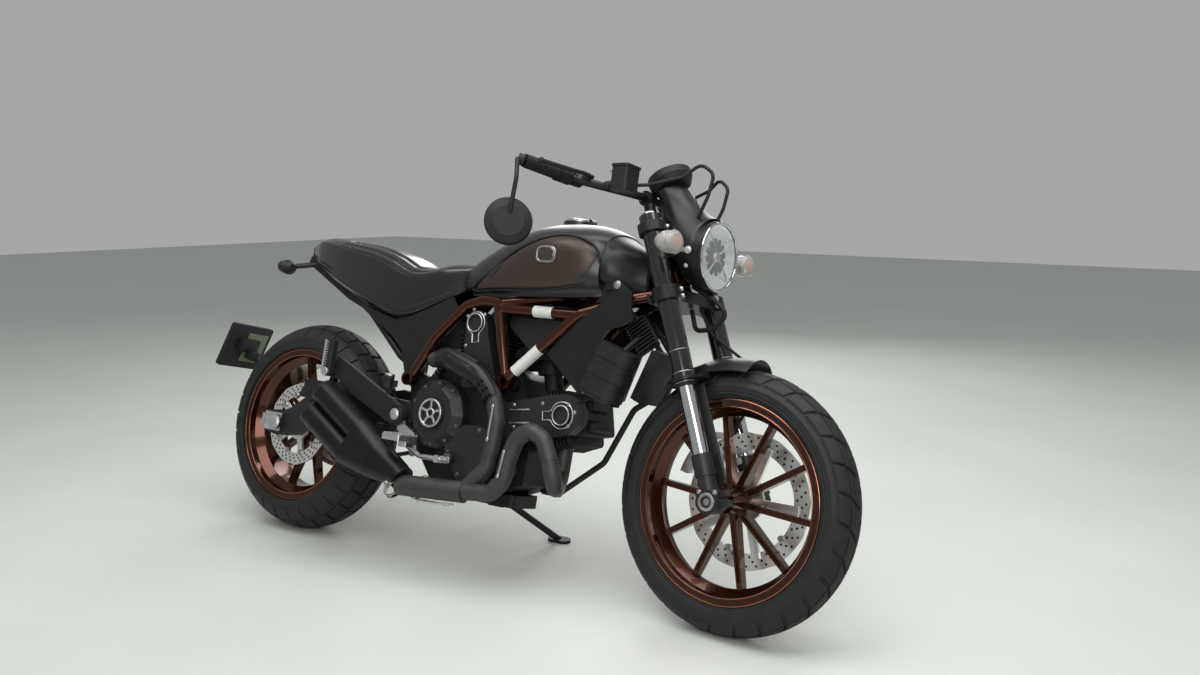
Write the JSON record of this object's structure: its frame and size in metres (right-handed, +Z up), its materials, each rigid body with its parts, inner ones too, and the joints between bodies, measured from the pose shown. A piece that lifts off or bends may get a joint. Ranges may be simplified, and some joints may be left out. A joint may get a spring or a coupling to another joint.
{
  "type": "scrambler motorcycle",
  "caption": "Naked scrambler motorcycle with a trellis frame, V-twin engine, inverted fork and cast wheels, leaning on its side stand.",
  "frame": {"origin": "middle of the footprint (centre of the bounding box in plan) on the floor", "axes": "+X forward, +Y to the left of the rider, +Z up; the machine leans to +Y on its stand"},
  "size_m": [2.1904, 0.838, 1.1301],
  "materials": {
    "frame": "gloss copper-brown metallic paint",
    "subframe": "satin black paint",
    "crankcase": "cast aluminium in satin black paint",
    "cylinders": "satin black fins",
    "engine_covers": "satin dark grey",
    "belt_covers": "satin dark grey plastic",
    "intake": "matt black",
    "exhaust": "dark grey ceramic coat",
    "silencer": "satin black",
    "oil_cooler": "black",
    "canister": "matt black",
    "fuel_tank": "satin dark grey metallic",
    "tank_panels": "matt brown",
    "front_panels": "satin dark grey",
    "seat": "gloss black leather",
    "side_covers": "matt dark grey",
    "tail": "matt black",
    "swingarm": "cast aluminium in dark grey paint",
    "shock": "black spring and damper",
    "plate_hanger": "black",
    "rear_caliper": "black",
    "chain": "oiled steel",
    "foot_controls": "bare aluminium",
    "passenger_hangers": "dark grey",
    "yokes": "black",
    "fork_tubes": "gloss black anodised",
    "stanchions": "hard chrome",
    "fork_feet": "dark grey",
    "handlebar": "black",
    "grips": "black rubber",
    "hand_controls": "black",
    "mirrors": "black shells",
    "headlight": "gloss black",
    "headlight_lens": "clear",
    "instrument": "black",
    "front_signals": "clear lenses",
    "front_fender": "satin black",
    "front_caliper": "silver",
    "brake_hoses": "black",
    "front_rim": "gloss copper-brown paint",
    "front_tyre": "black rubber",
    "front_disc": "ground steel on a black spider",
    "rear_rim": "gloss copper-brown paint",
    "rear_tyre": "black rubber",
    "rear_disc": "ground steel",
    "rear_sprocket": "steel",
    "side_stand": "black",
    "fuel_cap": "satin aluminium"
  },
  "bodies": {
    "chassis": {"frame": "frame", "subframe": "subframe", "crankcase": "crankcase", "cylinders": "cylinders", "engine_covers": "engine_covers", "belt_covers": "belt_covers", "intake": "intake", "exhaust": "exhaust", "silencer": "silencer", "oil_cooler": "oil_cooler", "canister": "canister", "fuel_tank": "fuel_tank", "tank_panels": "tank_panels", "front_panels": "front_panels", "seat": "seat", "side_covers": "side_covers", "tail": "tail", "swingarm": "swingarm", "shock": "shock", "plate_hanger": "plate_hanger", "rear_caliper": "rear_caliper", "chain": "chain", "foot_controls": "foot_controls", "passenger_hangers": "passenger_hangers"},
    "steering": {"yokes": "yokes", "fork_tubes": "fork_tubes", "stanchions": "stanchions", "fork_feet": "fork_feet", "handlebar": "handlebar", "grips": "grips", "hand_controls": "hand_controls", "mirrors": "mirrors", "headlight": "headlight", "headlight_lens": "headlight_lens", "instrument": "instrument", "front_signals": "front_signals", "front_fender": "front_fender", "front_caliper": "front_caliper", "brake_hoses": "brake_hoses"},
    "front_wheel": {"front_rim": "front_rim", "front_tyre": "front_tyre", "front_disc": "front_disc"},
    "rear_wheel": {"rear_rim": "rear_rim", "rear_tyre": "rear_tyre", "rear_disc": "rear_disc", "rear_sprocket": "rear_sprocket"},
    "side_stand": {"side_stand": "side_stand"},
    "fuel_cap": {"fuel_cap": "fuel_cap"}
  },
  "joints": [
    {"name": "steering_turn", "type": "hinge", "parent": "chassis", "child": "steering", "pos_m": [0.52956, -0.02828, 0.83871], "axis": [-0.383, 0.2313, 0.8943], "range_deg": [-30.2, 39.8]},
    {"name": "front_wheel_spin", "type": "hinge", "parent": "steering", "child": "front_wheel", "pos_m": [0.7795, -0.16703, 0.30943], "axis": [0.0774, 0.9728, -0.2185], "continuous": true},
    {"name": "rear_wheel_spin", "type": "hinge", "parent": "chassis", "child": "rear_wheel", "pos_m": [-0.66543, -0.1657, 0.3069], "axis": [0.0001, 0.9681, -0.2504], "continuous": true},
    {"name": "side_stand_fold", "type": "hinge", "parent": "chassis", "child": "side_stand", "pos_m": [0.01863, -0.08706, 0.16392], "axis": [0.0587, 0.6311, 0.7735], "range_deg": [0, 96]},
    {"name": "fuel_cap_hinge", "type": "hinge", "parent": "chassis", "child": "fuel_cap", "pos_m": [0.25733, 0.00214, 0.95621], "axis": [0.0001, 0.9681, -0.2504], "range_deg": [0, 95]}
  ]
}
